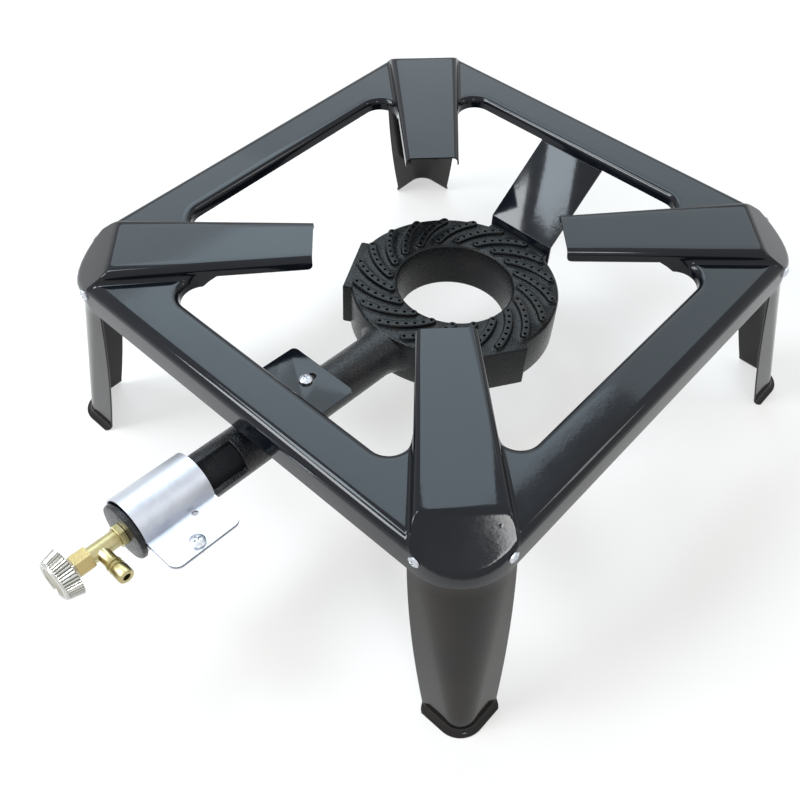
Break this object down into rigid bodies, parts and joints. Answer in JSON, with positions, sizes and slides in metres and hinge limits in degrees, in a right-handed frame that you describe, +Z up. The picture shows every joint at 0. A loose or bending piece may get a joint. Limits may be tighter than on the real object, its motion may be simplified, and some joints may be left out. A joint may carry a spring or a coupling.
{
  "type": "gas boiling ring",
  "caption": "Square black-enamelled gas boiling ring on splayed legs, with a ribbed cast ring burner, an air shutter and a needle valve with a hose barb.",
  "frame": {"origin": "middle of the bounding box, on the floor the feet stand on", "axes": "+Z up, -Y towards the valve and its knob, +X towards the side of the hose barb"},
  "size_m": [0.4398, 0.5644, 0.1825],
  "materials": {
    "black_enamel": "gloss enamel",
    "leg_enamel": "gloss enamel",
    "cast_iron_black": "rough, black coated",
    "silver_sheet": "satin, zinc coated",
    "zinc_steel": "bright zinc",
    "brass": "machined",
    "pale_brass": "machined, pale",
    "spindle_steel": "turned",
    "chrome": "polished",
    "white_packing": "plain",
    "black_rubber": "matt"
  },
  "bodies": {
    "stand": {"top_frame": "black_enamel", "leg_front_left": "leg_enamel", "leg_front_right": "leg_enamel", "leg_rear_left": "leg_enamel", "leg_rear_right": "leg_enamel", "leg_screws": "zinc_steel", "leg_nuts": "zinc_steel", "burner_casting": "cast_iron_black", "front_bracket": "black_enamel", "rear_bracket": "black_enamel", "front_bracket_screw": "zinc_steel", "rear_bracket_screw": "zinc_steel", "injector": "brass", "injector_lock_nut": "pale_brass", "valve_body": "pale_brass", "hose_barb": "pale_brass", "gland_nut": "brass", "gland_packing": "white_packing"},
    "shutter": {"air_shutter": "silver_sheet", "shutter_screw": "zinc_steel", "shutter_nut": "zinc_steel"},
    "spindle_ring": {"spindle_o_ring": "black_rubber"},
    "handle": {"valve_spindle": "spindle_steel", "knob": "chrome", "knob_cap": "chrome"}
  },
  "joints": [
    {"name": "shutter_slide", "type": "slide", "parent": "stand", "child": "shutter", "axis": [0, 0.9957, -0.0924], "range_m": [0, 0.03]},
    {"name": "spindle_rise", "type": "slide", "parent": "stand", "child": "spindle_ring", "axis": [0, -0.9957, 0.0924], "range_m": [0, 0.0015]},
    {"name": "knob_turn", "type": "hinge", "parent": "spindle_ring", "child": "handle", "pos_m": [0, -0.27, 0.1352], "axis": [0, -0.9957, 0.0924], "range_deg": [0, 540]}
  ],
  "couplings": [
    {"joint": "spindle_rise", "follows": "knob_turn", "m_per_rad": 0.00015915}
  ]
}
